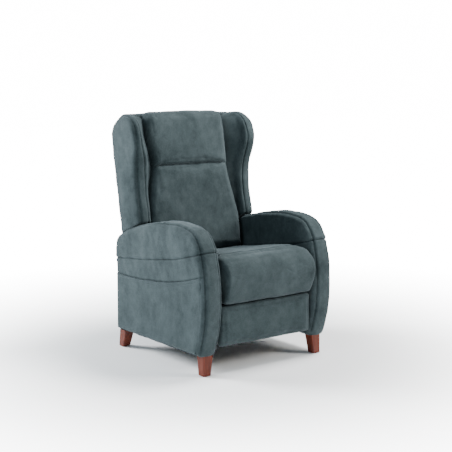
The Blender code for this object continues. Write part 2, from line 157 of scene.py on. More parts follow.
def build_nap_group():
    group, start, end = new_group(
        "brushed_nap",
        [("Vector", "NodeSocketVector", None), ("Patches", "NodeSocketFloat", 1.25),
         ("Dabs", "NodeSocketFloat", 0.45), ("Seam", "NodeSocketFloat", 0.0)],
        [("Shade", "NodeSocketFloat"), ("Pile", "NodeSocketFloat")])
    vector = start.outputs["Vector"]
    patches = add_node(group, "ShaderNodeTexNoise", {"Scale": 8.0, "Detail": 6.0, "Roughness": 0.68},
                       {"Vector": vector})
    stretch = add_node(group, "ShaderNodeMapping", {"Scale": (38.0, 38.0, 24.0)}, {"Vector": vector})
    dabs = add_node(group, "ShaderNodeTexNoise", {"Scale": 1.0, "Detail": 4.0, "Roughness": 0.6},
                    {"Vector": stretch.outputs[0]})
    pile = add_node(group, "ShaderNodeTexNoise", {"Scale": 200.0, "Detail": 6.0, "Roughness": 0.75},
                    {"Vector": vector})

    def centred(source, strength):
        """strength times (source - 0.5)."""
        lowered = add_node(group, "ShaderNodeMath", {1: 0.5}, {0: source}, operation="SUBTRACT")
        scaled = add_node(group, "ShaderNodeMath", {}, {0: lowered.outputs[0]}, operation="MULTIPLY")
        if isinstance(strength, float):
            scaled.inputs[1].default_value = strength
        else:
            group.links.new(strength, scaled.inputs[1])
        return scaled.outputs[0]

    total = add_node(group, "ShaderNodeMath", {1: 0.5},
                     {0: centred(patches.outputs["Fac"], start.outputs["Patches"])}, operation="ADD")
    for part in (centred(dabs.outputs["Fac"], start.outputs["Dabs"]),
                 centred(pile.outputs["Fac"], PILE_STRENGTH)):
        total = add_node(group, "ShaderNodeMath", {}, {0: total.outputs[0], 1: part}, operation="ADD")
    # the seam attribute darkens the colour: crushed pile at stitches, and painted shade
    crushed_and_shaded = add_node(group, "ShaderNodeMath", {1: CRUSHED_AND_SHADED}, {0: start.outputs["Seam"]},
                       operation="MULTIPLY")
    shade = add_node(group, "ShaderNodeMath", {}, {0: total.outputs[0], 1: crushed_and_shaded.outputs[0]},
                     operation="SUBTRACT")
    group.links.new(shade.outputs[0], end.inputs["Shade"])
    group.links.new(pile.outputs["Fac"], end.inputs["Pile"])
    return group


nap_group = build_nap_group()
print("group", nap_group.name)


# %% [markdown]
# `Shade` slides between three tones: nearly black in a seam or where shade is painted, the deep
# tone of pile that lies towards the eye, and the pale tone of pile that lies away. The sheen, which
# lifts the edges as velvet does, is the same all over, so it is set straight on the shader.


# %% Velvet
VELVET_TONES = ((-0.30, (0.003, 0.006, 0.007)), (0.15, (0.014, 0.024, 0.026)),
                (0.85, (0.052, 0.070, 0.074)))


def velvet(name, tones):
    material, tree, shader = new_material(name, {
        "Roughness": 0.86, "Sheen Weight": 0.14, "Sheen Roughness": 0.4,
        "Sheen Tint": (0.72, 0.86, 0.95, 1.0), "Specular IOR Level": 0.18})
    place = add_node(tree, "ShaderNodeTexCoord")
    # this attribute holds crushed pile at seams, and painted shadow and shade
    seam_and_shade = add_node(tree, "ShaderNodeAttribute", attribute_name="seam_and_shade")
    nap = add_node(tree, "ShaderNodeGroup", node_tree=nap_group)
    tree.links.new(place.outputs["Object"], nap.inputs["Vector"])
    tree.links.new(seam_and_shade.outputs["Fac"], nap.inputs["Seam"])
    (low, darkest), (middle, deep), (high, pale) = tones
    lower = add_node(tree, "ShaderNodeMapRange", {"From Min": low, "From Max": middle},
                     {"Value": nap.outputs["Shade"]})
    upper = add_node(tree, "ShaderNodeMapRange", {"From Min": middle, "From Max": high},
                     {"Value": nap.outputs["Shade"]})
    base = mix_colours(tree, lower.outputs[0], darkest, deep)
    full = add_node(tree, "ShaderNodeMix", links={0: upper.outputs[0], 6: base}, data_type="RGBA")
    full.inputs[7].default_value = (*pale, 1.0)
    tree.links.new(full.outputs[2], shader.inputs["Base Color"])
    bump = add_node(tree, "ShaderNodeBump", {"Strength": 0.5, "Distance": 0.0012},
                    {"Height": nap.outputs["Pile"]})
    tree.links.new(bump.outputs[0], shader.inputs["Normal"])
    return material


cover_cloth = velvet("velvet_cover", VELVET_TONES)
print("velvet tones", [tone for _, tone in VELVET_TONES])


# %% [markdown]
# ## Wood, metal, plastic and lining
#
# The feet are stained and lacquered, so their grain is faint and a thin clear coat lies over it.
# The frame is bare birch ply and beech. The boards that lie close behind a gap between two
# cushions are coloured nearly black as painted shade, so that the gaps look dark. All of them use
# one grain group: noise drawn out along the length of the wood. The steel parts are powder coated,
# which leaves a fine orange-peel surface.


# %% Grain group
def build_grain_group():
    group, start, end = new_group(
        "wood_grain",
        [("Vector", "NodeSocketVector", None), ("Along", "NodeSocketVector", (60.0, 60.0, 4.0))],
        [("Grain", "NodeSocketFloat"), ("Pores", "NodeSocketFloat")])
    stretched = add_node(group, "ShaderNodeVectorMath", operation="MULTIPLY",
                         links={0: start.outputs["Vector"], 1: start.outputs["Along"]})
    grain = add_node(group, "ShaderNodeTexNoise", {"Scale": 1.0, "Detail": 5.0, "Distortion": 0.8},
                     {"Vector": stretched.outputs[0]})
    pores = add_node(group, "ShaderNodeTexNoise", {"Scale": 9.0, "Detail": 2.0},
                     {"Vector": stretched.outputs[0]})
    group.links.new(grain.outputs["Fac"], end.inputs["Grain"])
    group.links.new(pores.outputs["Fac"], end.inputs["Pores"])
    return group


grain_group = build_grain_group()


def wood(name, dark, light, along, shader_values):
    material, tree, shader = new_material(name, shader_values)
    place = add_node(tree, "ShaderNodeTexCoord")
    grain = add_node(tree, "ShaderNodeGroup", {"Along": along}, node_tree=grain_group)
    tree.links.new(place.outputs["Object"], grain.inputs["Vector"])
    sharpen = add_node(tree, "ShaderNodeMapRange", {"From Min": 0.36, "From Max": 0.66},
                       {"Value": grain.outputs["Grain"]})
    tree.links.new(mix_colours(tree, sharpen.outputs[0], dark, light), shader.inputs["Base Color"])
    bump = add_node(tree, "ShaderNodeBump", {"Strength": 0.15, "Distance": 0.0005},
                    {"Height": grain.outputs["Pores"]})
    tree.links.new(bump.outputs[0], shader.inputs["Normal"])
    return material


foot_wood = wood("foot_wood", (0.070, 0.011, 0.005), (0.150, 0.030, 0.013), (70.0, 70.0, 5.0),
                 {"Roughness": 0.5, "Specular IOR Level": 0.25, "Coat Weight": 0.05})
frame_wood = wood("frame_wood", (0.40, 0.27, 0.15), (0.62, 0.46, 0.29), (90.0, 4.0, 40.0),
                  {"Roughness": 0.72})
rail_wood = wood("rail_wood", (0.36, 0.23, 0.13), (0.58, 0.42, 0.26), (4.0, 70.0, 70.0),
                 {"Roughness": 0.7})
# nearly black: painted shade for the boards seen through gaps between cushions
painted_shade_wood = wood("painted_shade_wood", (0.005, 0.005, 0.005), (0.012, 0.011, 0.011), (4.0, 70.0, 70.0),
                    {"Roughness": 0.75})
print("woods", foot_wood.name, frame_wood.name, rail_wood.name, painted_shade_wood.name)


# %% Speckled finishes
def speckled(name, dark, light, scale, roughness, bump_depth, shader_values=None):
    """A finish whose colour, roughness and surface vary with one fine noise."""
    material, tree, shader = new_material(name, shader_values or {})
    place = add_node(tree, "ShaderNodeTexCoord")
    speck = add_node(tree, "ShaderNodeTexNoise", {"Scale": scale, "Detail": 3.0},
                     {"Vector": place.outputs["Object"]})
    tree.links.new(mix_colours(tree, speck.outputs["Fac"], dark, light), shader.inputs["Base Color"])
    rough = add_node(tree, "ShaderNodeMapRange", {"To Min": roughness - 0.08, "To Max": roughness + 0.08},
                     {"Value": speck.outputs["Fac"]})
    tree.links.new(rough.outputs[0], shader.inputs["Roughness"])
    bump = add_node(tree, "ShaderNodeBump", {"Strength": 0.4, "Distance": bump_depth},
                    {"Height": speck.outputs["Fac"]})
    tree.links.new(bump.outputs[0], shader.inputs["Normal"])
    return material


coated_steel = speckled("coated_steel", (0.018, 0.018, 0.020), (0.045, 0.045, 0.050), 700.0, 0.42,
                        0.0002)
bright_steel = speckled("bright_steel", (0.42, 0.42, 0.43), (0.62, 0.62, 0.64), 300.0, 0.32, 0.0001,
                        {"Metallic": 1.0})
glide_plastic = speckled("glide_plastic", (0.020, 0.020, 0.021), (0.040, 0.040, 0.042), 500.0, 0.55,
                         0.0002)
lining_cloth = speckled("lining_cloth", (0.012, 0.012, 0.013), (0.040, 0.040, 0.042), 420.0, 0.9,
                        0.0006, {"Specular IOR Level": 0.1})
print("finishes", coated_steel.name, bright_steel.name, glide_plastic.name, lining_cloth.name)

# %% [markdown]
# ## Finishes for the frame's own parts
#
# These CAD parts already have the right shape, so they only need a finish. The table says which
# finish goes with which part of a node's name.

# %% Dress the CAD parts
CAD_FINISHES = (
    (foot_wood, ("foot_front", "foot_rear")),
    (glide_plastic, ("foot_glide",)),
    (frame_wood, ("side_board", "wing_board", "arm_board")),
    # boards seen through gaps between cushions, coloured nearly black as painted shade
    (painted_shade_wood, ("seat_frame", "footrest_board", "back_frame")),
    (rail_wood, ("front_rail", "rear_rail")),
    (coated_steel, ("back_hinge_plate", "footrest_bracket", "upper_link", "lower_link",
                    "board_hinge", "back_bracket")),
    (bright_steel, ("seat_spring", "footrest_shaft", "knee_rod", "ankle_rod", "back_hinge_pin")),
)
for finish, starts in CAD_FINISHES:
    for node_name, node in frame["nodes"].items():
        if node_name.startswith(starts):
            node.data.materials.clear()
            node.data.materials.append(finish)
print("dressed", sum(len(starts) for finish, starts in CAD_FINISHES), "kinds of part")

# %% [markdown]
# ## Mesh helpers for the upholstery
#
# Every padded piece is made the same way. It starts as a few big faces, then a voxel remesh gives
# it an even skin, smoothing rounds its edges, and one subdivision makes room for the seams. The
# seams themselves are pressed in at the end by moving points, because a remesh would erase them.


# %% Points in, points out
SKIN_VOXEL = 0.006           # size of the faces of an even skin, before they are subdivided


def read_points(mesh):
    """A mesh's points and their normals, as two arrays."""
    points = np.empty(len(mesh.vertices) * 3, np.float32)
    mesh.vertices.foreach_get("co", points)
    normals = np.empty(len(mesh.vertices) * 3, np.float32)
    mesh.vertex_normals.foreach_get("vector", normals)
    return points.reshape(-1, 3).astype(float), normals.reshape(-1, 3).astype(float)


def write_points(mesh, points):
    mesh.vertices.foreach_set("co", points.astype(np.float32).ravel())
    mesh.update()


def bake_modifiers(piece):
    """Replace a piece's mesh by what its modifiers make of it."""
    bpy.context.view_layer.update()
    graph = bpy.context.evaluated_depsgraph_get()
    mesh = bpy.data.meshes.new_from_object(piece.evaluated_get(graph))
    piece.modifiers.clear()
    piece.data = mesh


def thick_plate(corners, push):
    """A flat face through the corners, extruded by push."""
    bm = bmesh.new()
    face = bm.faces.new([bm.verts.new(corner) for corner in corners])
    lifted = bmesh.ops.extrude_face_region(bm, geom=[face])
    moved = [item for item in lifted["geom"] if isinstance(item, bmesh.types.BMVert)]
    bmesh.ops.translate(bm, verts=moved, vec=push)
    return bm


def make_piece(name, bm, material):
    """A bmesh as a named object with a material, at the origin."""
    bmesh.ops.recalc_face_normals(bm, faces=bm.faces[:])
    mesh = bpy.data.meshes.new(name)
    bm.to_mesh(mesh)
    bm.free()
    piece = bpy.data.objects.new(name, mesh)
    scene.collection.objects.link(piece)
    mesh.materials.append(material)
    return piece


def round_off(piece, rounds):
    """Smoothing, which rounds the edges."""
    smooth = piece.modifiers.new("round", "SMOOTH")
    smooth.factor = 0.5
    smooth.iterations = rounds
    bake_modifiers(piece)


def even_skin(piece, rounds):
    """Voxel remesh, which gives the skin even faces, then smoothing."""
    material = piece.data.materials[0]
    remesh = piece.modifiers.new("skin", "REMESH")
    remesh.mode = "VOXEL"
    remesh.voxel_size = SKIN_VOXEL
    round_off(piece, rounds)
    piece.data.materials.clear()
    piece.data.materials.append(material)


def subdivide(piece):
    finer = piece.modifiers.new("finer", "SUBSURF")
    finer.levels = 1
    finer.render_levels = 1
    bake_modifiers(piece)


def shade_smooth(piece):
    piece.data.shade_smooth()
    print(piece.name, len(piece.data.polygons), "faces")


def dress(piece, body, nodes):
    """Say what a padded piece rides on, hide the CAD nodes it stands for and shade it smooth."""
    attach(piece, body)
    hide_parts(*nodes)
    shade_smooth(piece)


# %% [markdown]
# Cloth simulation blows a cushion up like a pillow. Pressure pushes its skin out, gravity stays
# off, and the cap keeps any point from going further than the foam would let it. Foam doesn't let
# the skin sink either, so any inward part of a point's movement is taken off again.


# %% Inflate with cloth
def inflate(piece, pressure, cap, stiffness=8.0, frames=20):
    rest, outward = read_points(piece.data)
    cloth = piece.modifiers.new("cloth", "CLOTH")
    cloth.settings.use_pressure = True
    cloth.settings.uniform_pressure_force = pressure
    cloth.settings.tension_stiffness = stiffness
    cloth.settings.compression_stiffness = stiffness
    cloth.settings.shear_stiffness = stiffness / 2
    cloth.settings.bending_stiffness = 0.4
    cloth.settings.effector_weights.gravity = 0.0
    for step in range(1, frames + 1):
        scene.frame_set(step)
    bake_modifiers(piece)
    scene.frame_set(1)
    blown, _ = read_points(piece.data)
    shift = blown - rest
    sunk = np.minimum((shift * outward).sum(axis=1, keepdims=True), 0.0)
    shift = shift - sunk * outward
    length = np.linalg.norm(shift, axis=1, keepdims=True)
    write_points(piece.data, rest + shift * np.minimum(1.0, cap / np.maximum(length, 1e-9)))
    print(piece.name, "moved up to", round(float(length.max()) * 1000, 1), "mm, capped")


# %% [markdown]
# Upholstery is never quite flat. `ripples` adds a few slow waves with fixed random directions,
# and `groove` gives the depth of a seam at some distance from it: a narrow valley with a low,
# full shoulder on each side where the filling swells against the stitches.


# %% Ripples and grooves
def ripples(points, wavelength, seed, count=7):
    """Slow, irregular waves between about -1 and 1."""
    random = np.random.default_rng(seed)
    total = np.zeros(len(points))
    for _ in range(count):
        direction = random.normal(size=3)
        direction /= np.linalg.norm(direction)
        turns = points @ direction / (wavelength * random.uniform(0.7, 1.5))
        total += np.sin(math.tau * (turns + random.random()))
    return total / math.sqrt(count)


def near_seam(distance, width):
    """1 on a seam, and smoothly down to 0 over about twice the width."""
    return np.exp(-(distance / width) ** 2)


def groove(distance, depth, width):
    """How far the skin moves along its normal at a distance from a seam."""
    shoulder = near_seam(np.abs(distance) - 3.2 * width, 1.8 * width)
    return -depth * near_seam(distance, width) + 0.22 * depth * shoulder


def mark_seams_and_shade(piece, strength):
    """Keep how close each point is to a seam, with any painted shadow and shade, for the cloth's colour.
    """
    attribute = piece.data.attributes.new("seam_and_shade", "FLOAT", "POINT")
    attribute.data.foreach_set("value", np.clip(strength, 0.0, 1.0).astype(np.float32))


def smooth_step(low, high, values):
    """0 at low, 1 at high, with no kink at either end."""
    share = np.clip((values - low) / (high - low), 0.0, 1.0)
    return share * share * (3 - 2 * share)


# %% [markdown]
# ## The arms
#
# An arm is a plywood board with foam all round it and one sewn cover. Seen from the side it is a
# rounded hump. A welted seam runs round both sides of the top and front, and the band between
# those seams is crowned. A second seam crosses the arm below the pad and goes round the front.
#
# The outline comes from the frame: the convex hull of the arm's CAD pads is exactly the hump.

# %% Arm sizes
ARM_EDGE = 0.017             # rounding of the cover where side and band meet
ARM_BEVEL_END = 0.29         # behind this the arm's upright rear edges stay crisp
ARM_SWELL = 0.0030           # makes up for what the smoothing took off
REAR_SWELL = 0.006           # squares the rear edges up again after the smoothing
HINGE_CLEAR_FROM = 0.02      # behind this the inner side stays flat, clear of the back's brackets
WELT_INSET = 0.0145          # distance of the welted seams from the arm's sides
BAND_SWELL = 0.0045          # extra fullness of the band in front of the back
SIDE_DROP = 0.0045           # how much lower the top lies at its sides than in the middle
FRONT_DROP = 0.0095          # the same in front of the back
SEAM_DEPTH = 0.0050
SEAM_WIDTH = 0.0036
SEAM_SLOPE = 0.19            # average slope of the cross seam, in radians
OVERHANG = 0.0016            # how far the pad hangs over the cross seam
TUCK, TUCK_IN_POCKET = 0.0035, 0.0030
SIDE_SEAM_Y = (-0.400, -0.353, -0.3297, -0.182, 0.044, 0.304)
SIDE_SEAM_Z = (0.553, 0.537, 0.528, 0.492, 0.460, 0.434)


def side_seam_height(y):
    return np.interp(y, SIDE_SEAM_Y, SIDE_SEAM_Z)


def arm_pads(name):
    return [f"{kind}_{name}" for kind in ("arm_inner_pad", "arm_outer_pad", "arm_top_pad",
                                          "arm_front_band")]


# %% Arm shell
def hull_of(node_names):
    """Convex hull of some CAD nodes, with its flat sides as single faces."""
    bm = bmesh.new()
    for node_name in node_names:
        for vertex in frame["nodes"][node_name].data.vertices:
            bm.verts.new(vertex.co)
    bmesh.ops.remove_doubles(bm, verts=bm.verts[:], dist=0.0005)
    made = bmesh.ops.convex_hull(bm, input=bm.verts[:])
    spare = {item for key in ("geom_interior", "geom_unused") for item in made[key]
             if isinstance(item, bmesh.types.BMVert)}
    bmesh.ops.delete(bm, geom=list(spare), context="VERTS")
    bmesh.ops.dissolve_limit(bm, angle_limit=math.radians(1.0), verts=bm.verts[:], edges=bm.edges[:])
    return bm


def lies_in_side(edge):
    """Whether both ends of an edge are at the same distance across the chair."""
    return abs(edge.verts[0].co.x - edge.verts[1].co.x) < 0.001


def arm_shell(name):
    bm = hull_of(arm_pads(name))
    rim = [edge for edge in bm.edges
           if lies_in_side(edge) and len(edge.link_faces) == 2 and edge.calc_face_angle() > 1.0
           and min(vert.co.y for vert in edge.verts) < ARM_BEVEL_END]
    bmesh.ops.bevel(bm, geom=rim, offset=ARM_EDGE, segments=4, profile=0.5, affect="EDGES",
                    material=-1)
    piece = make_piece(f"arm_cover_{name}", bm, cover_cloth)
    even_skin(piece, 6)
    subdivide(piece)
    return piece


arms = {name: arm_shell(name) for name, side in SIDES}
print("arm shells", [piece.name for piece in arms.values()])

# %% [markdown]
# The right arm carries a cloth pocket, so the height of the pocket's mouth is needed first: the
# arm's cover is pulled in below it and lies in its shadow, and a shadow is also painted on the
# cover along the mouth.

# %% Pocket mouth
POCKET_SIDE = "right"
POCKET_MOUTH_Y = (-0.385, -0.3285, -0.116, 0.087, 0.304)
POCKET_MOUTH_Z = (0.448, 0.424, 0.384, 0.361, 0.361)


def pocket_mouth_height(y):
    """A smooth curve through the mouth's points, with a small rise where the hem bunches."""
    fit = np.polyfit(POCKET_MOUTH_Y, POCKET_MOUTH_Z, 3)
    return np.polyval(fit, y) + 0.0022 * near_seam(y - 0.010, 0.035)


# %% [markdown]
# Now the seams. On the band the two welts sit a fixed way in from the sides, so a point's X says
# how far it is from them. The band between them is crowned. The cross seam is a curve of height
# against Y, and it goes all the way round. Everything is added up as a distance along the skin's
# own normal, and moved in one go.


# %% Arm seams
def sew_arm(piece, name, side):
    low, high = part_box(f"arm_top_pad_{name}")
    middle = (low.x + high.x) / 2
    half = (high.x - low.x) / 2
    points, normals = read_points(piece.data)
    across = np.abs(points[:, 0] - middle)
    rim = np.hypot(normals[:, 1], normals[:, 2])
    upper = smooth_step(0.10, 0.13, points[:, 2])
    from_welt = across - (half - WELT_INSET)

    in_front = smooth_step(0.05, -0.10, points[:, 1])
    in_band = np.minimum(across / (half - WELT_INSET), 1.25)
    bulge = BAND_SWELL - (FRONT_DROP - SIDE_DROP) * in_band ** 2
    crown = (bulge * in_front - SIDE_DROP * (across / half) ** 2) * rim
    welt = groove(from_welt, SEAM_DEPTH, SEAM_WIDTH) * rim * upper
    from_seam = (points[:, 2] - side_seam_height(points[:, 1])) * math.cos(SEAM_SLOPE)
    cross = groove(from_seam, SEAM_DEPTH * 0.85, SEAM_WIDTH)
    overhang = OVERHANG * near_seam(from_seam - 0.012, 0.010)
    uneven = 0.0009 * ripples(points, 0.10, 3) + 0.0004 * ripples(points, 0.035, 4)
    outer = np.clip(normals[:, 0] * side, 0.0, 1.0)
    tucked = np.zeros(len(points))
    shadow = np.zeros(len(points))
    if name == POCKET_SIDE:
        above_mouth = points[:, 2] - pocket_mouth_height(points[:, 1])
        tucked = -TUCK * outer - TUCK_IN_POCKET * smooth_step(0.004, -0.004, above_mouth) * outer
    total = ARM_SWELL + crown + welt + cross + overhang + uneven + tucked
    points = points + normals * total[:, None]
    points[:, 1] += REAR_SWELL * smooth_step(0.24, 0.30, points[:, 1])
    inner_face = min(abs(low.x), abs(high.x))
    by_hinge = points[:, 1] > HINGE_CLEAR_FROM
    points[by_hinge, 0] = side * np.maximum(side * points[by_hinge, 0], inner_face)
    write_points(piece.data, points)
    # painted shadow on the arm's cover just at the pocket's mouth
    if name == POCKET_SIDE:
        above_mouth = points[:, 2] - pocket_mouth_height(points[:, 1])
        shadow = 0.6 * near_seam(above_mouth - 0.002, 0.005) * outer
    # seam marks: crushed pile at the stitches, and painted shade in the welts and under the pad's
    # overhang at the cross seam
    mark_seams_and_shade(piece, shadow + 0.40 * near_seam(from_welt, 0.0040) * rim * upper
               + 0.65 * near_seam(from_seam, 0.0028))
    dress(piece, "base", [*arm_pads(name), f"arm_board_{name}"])


for arm_name, arm_side in SIDES:
    sew_arm(arms[arm_name], arm_name, arm_side)

# %% [markdown]
# ## Sheets of cloth
#
# The chair has three flat pieces of cloth: the side pocket, a flap behind the hinge and the dust
# cloth. A grid is the simplest start for each. Its points are placed first, and then Solidify
# gives the cloth its thickness.


# %% Sheet helpers
def flat_sheet(name, columns, rows, material):
    """A grid of one by one metre, with how far each point is across and up it from its middle."""
    bm = bmesh.new()
    bmesh.ops.create_grid(bm, x_segments=columns, y_segments=rows, size=0.5)
    piece = make_piece(name, bm, material)
    points, _ = read_points(piece.data)
    return piece, points[:, 0], points[:, 1]


def lay_sheet(piece, x, y, z, thickness, offset=-1.0):
    """Move a sheet's points to their places and give it its thickness."""
    write_points(piece.data, np.stack([x, y, z], axis=1))
    thick = piece.modifiers.new("cloth", "SOLIDIFY")
    thick.thickness = thickness
    thick.offset = offset
    bake_modifiers(piece)


# %% [markdown]
# ## The side pocket
#
# A flat cloth pocket covers the lower side of the right arm. It is one sheet, sewn down along the
# front, bottom and rear, and its upper edge hangs a little open. Its rows are placed between the
# bottom edge and the mouth. The double hem is pressed in as a stitched line below the mouth.

# %% Pocket
POCKET_CLOTH = 0.0022
POCKET_HEM = 0.013
POCKET_SAG = 0.0048          # how far the middle of the mouth hangs open
POCKET_FRONT_Z = (0.090, 0.218, 0.330, 0.440)
POCKET_FRONT_Y = (-0.318, -0.355, -0.363, -0.358)
pocket_low, pocket_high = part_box("side_pocket")


def build_pocket():
    piece, across, up = flat_sheet("side_pocket_cloth", 150, 90, cover_cloth)
    along, up = across + 0.5, up + 0.5
    bottom = pocket_low.z + 0.004
    front = pocket_low.y
    for _ in range(3):                  # the front edge leans, so height and place settle together
        y = front + (pocket_high.y + 0.005 - front) * along
        mouth = pocket_mouth_height(y)
        z = bottom + (mouth - bottom) * up
        front = np.interp(z, POCKET_FRONT_Z, POCKET_FRONT_Y)
    below_mouth = mouth - z
    held = np.sin(math.pi * np.clip(along, 0.0, 1.0)) ** 0.6
    sag = POCKET_SAG * np.exp(-below_mouth / 0.030) * held
    edge = np.minimum(np.minimum(along, 1 - along) * 0.64, z - bottom)
    sewn = -0.0042 * np.exp(-edge / 0.006)
    hem = groove(below_mouth - POCKET_HEM, 0.0016, 0.0022) + 0.0007 * (below_mouth < POCKET_HEM)
    wave = 0.0008 * ripples(np.stack([y, y * 0, z], axis=1), 0.09, 11) * smooth_step(0, 0.03, edge)
    x = pocket_low.x + 0.0018 - (sag + sewn + hem + wave)
    lay_sheet(piece, x, y, z, POCKET_CLOTH, 1.0)
    bm = bmesh.new()
    bm.from_mesh(piece.data)
    bmesh.ops.recalc_face_normals(bm, faces=bm.faces[:])
    bm.to_mesh(piece.data)
    bm.free()
    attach(piece, "base")
    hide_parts("side_pocket", "pocket_edge")
    shade_smooth(piece)


build_pocket()

# %% [markdown]
# ## The backrest's own axes
#
# The back leans by ten degrees and swings on a hinge low between the arms. Its parts are easiest
# to shape upright and then lean over, so a matrix holds that turn: X stays, Y is the thickness of
# the back and Z runs up along it, all measured from the hinge axis.

# %% Back matrix
hinge = next(joint for joint in frame["joints"] if joint["name"] == "backrest_recline")
LEAN = math.radians(10)
back_to_world = Matrix.Translation(Vector(hinge["pos_m"])) @ Matrix.Rotation(-LEAN, 4, "X")
print("hinge axis at", hinge["pos_m"])


def carried(points, matrix):
    """The points as a matrix moves them."""
    turn = np.array(matrix)
    return points @ turn[:3, :3].T + turn[:3, 3]


# %% [markdown]
# ## The wings
#
# Each wing is a board wrapped in foam: flat outside, with a narrow front band between two welts,
# and an inner side that flares from the band back to the cushions. Seen from the side its front
# edge bulges at head height and is drawn in at the waist, its top is rounded, and its bottom
# follows the arm. So it starts as a flat plate cut to that outline. Once the plate has an even
# skin, every point is slid sideways between the true inner and outer surface.

# %% Wing outline
# place across the back and height along it, from the bottom of the front edge over the top
WING_EDGE = ((-0.069, 0.150), (-0.069, 0.275), (-0.067, 0.330), (-0.066, 0.400), (-0.071, 0.470),
             (-0.087, 0.530), (-0.106, 0.575), (-0.122, 0.613), (-0.128, 0.650), (-0.123, 0.690),
             (-0.113, 0.724), (-0.087, 0.753), (-0.048, 0.772), (-0.006, 0.776), (0.032, 0.767),
             (0.064, 0.748), (0.087, 0.718), (0.101, 0.672), (0.102, 0.200))
ARM_GAP = 0.003              # between the wing's bottom and the arm
CURVE_STEPS = 3              # points of the curve for each span between two given ones
FRONT_SPANS = 11             # spans in the front edge, whose height only rises


def curve_through(points):
    """Points of a smooth curve that passes through every given point."""
    ends = [points[0], *points, points[-1]]
    path = []
    for before, start, end, after in zip(ends, ends[1:], ends[2:], ends[3:]):
        for step in range(CURVE_STEPS):
            t = step / CURVE_STEPS
            path.append(tuple(
                0.5 * (2 * q + (r - p) * t + (2 * p - 5 * q + 4 * r - s) * t ** 2
                       + (3 * q - p - 3 * r + s) * t ** 3)
                for p, q, r, s in zip(before, start, end, after)))
    return path + [tuple(points[-1])]


def arm_crown():
    """The top line of an arm in the back's axes, pushed out a little from the hinge axis."""
    pad = frame["nodes"]["arm_top_pad_left"].data
    corners = {(round(vertex.co.y, 4), round(vertex.co.z, 4)) for vertex in pad.vertices}
    top = sorted((y, z) for y, z in corners if z > side_seam_height(y) + 0.020)
    line = carried(np.array([(0.0, y, z) for y, z in top]), back_to_world.inverted())[:, 1:]
    reach = np.linalg.norm(line, axis=1, keepdims=True)
    return line * (1 + ARM_GAP / reach)


wing_edge = np.array(curve_through(WING_EDGE))
crown_line = arm_crown()


def wing_outline():
    """The edge down to where it meets the arm's crown, closed along the crown."""
    over_arm = wing_edge[:, 1] > np.interp(wing_edge[:, 0], crown_line[:, 0], crown_line[:, 1])
    inside = (crown_line[:, 0] > -0.060) & (crown_line[:, 0] < 0.098)
    return np.concatenate([wing_edge[over_arm], crown_line[inside][::-1]])


print("wing outline of", len(wing_outline()), "points")

# %% [markdown]
# The inner surface is where the wing is subtle. Behind the cushions it stands clear of the back
# frame. In front of them it flares out at the angle that the roots and the band give, and near
# the edge it turns through a rounded roll into the band. At the head the right wing is a little
# slimmer than the left one, and the cushions fill that room.

# %% Wing surfaces
# height along the back, then half distances from the middle: inner roll, inner welt, outer side
WING_BAND = ((0.200, 0.259, 0.284, 0.336), (0.350, 0.264, 0.284, 0.335),
             (0.440, 0.257, 0.2825, 0.334), (0.530, 0.252, 0.286, 0.339),
             (0.600, 0.268, 0.296, 0.349), (0.660, 0.284, 0.2990, 0.353),
             (0.720, 0.285, 0.297, 0.351), (0.790, 0.282, 0.293, 0.347))
BAND_HEIGHTS, ROLL_INNER_X, WELT_INNER_X, BAND_OUTER_X = zip(*WING_BAND)
WING_OUTER = 0.347
WELT_OUTER_INSET = 0.013
WING_INNER_REAR = 0.2855
WING_ROOT_Y = -0.0225
WING_ROOT_HEIGHTS = (0.200, 0.275, 0.330, 0.400, 0.470, 0.530)
WING_ROOT_WIDTHS = (0.2520, 0.2520, 0.2440, 0.2250, 0.2110, 0.2050)
CUSHION_BACK = -0.0145
ROLL = 0.030                 # how far in from the edge the rolls reach
REAR_TUCK, REAR_ROUND = 0.022, 0.038
RIGHT_SLIMMER = 0.020        # how much further out the right wing's inner side is at the head


def distance_to_path(points, path):
    """Distance in the plane from each point to a polyline."""
    nearest = np.full(len(points), 9.0)
    for start, end in zip(path, path[1:]):
        run = end - start
        along = np.clip(((points - start) @ run) / max(run @ run, 1e-12), 0.0, 1.0)
        nearest = np.minimum(nearest, np.linalg.norm(points - start - along[:, None] * run, axis=1))
    return nearest


def quarter_round(share):
    """0 away from an edge, 1 at the edge, along a quarter circle."""
    return 1 - np.sqrt(1 - (1 - np.clip(share, 0.0, 1.0)) ** 2)


def wing_front(up):
    front = wing_edge[:FRONT_SPANS * CURVE_STEPS + 1]
    return np.interp(up, front[:, 1], front[:, 0])


def wing_inner(across, up, from_edge):
    root = np.interp(up, WING_ROOT_HEIGHTS, WING_ROOT_WIDTHS)
    welt = np.interp(up, BAND_HEIGHTS, WELT_INNER_X)
    depth = np.maximum(WING_ROOT_Y - (wing_front(up) + ROLL), 0.012)
    roll = np.interp(up, BAND_HEIGHTS, ROLL_INNER_X)
    flare = root + (roll - root) * np.clip((WING_ROOT_Y - across) / depth, -0.1, 1.0)
    behind = smooth_step(-0.0165, -0.0140, across)
    inner = flare + (WING_INNER_REAR - flare) * behind
    return inner + (welt - inner).clip(0) * quarter_round(from_edge / ROLL) * (1 - behind)


def wing_outer(across, up, from_edge):
    band = np.interp(up, BAND_HEIGHTS, BAND_OUTER_X)
    near_front = smooth_step(0.10, 0.0, across - wing_front(up))
    outer = WING_OUTER + (band - WING_OUTER) * near_front
    outer = outer - REAR_TUCK * quarter_round((wing_edge[-1, 0] - across) / REAR_ROUND)
    return outer - (WELT_OUTER_INSET + 0.006) * quarter_round(from_edge / ROLL)


def right_side_extra(up):
    return RIGHT_SLIMMER * smooth_step(0.52, 0.66, up)


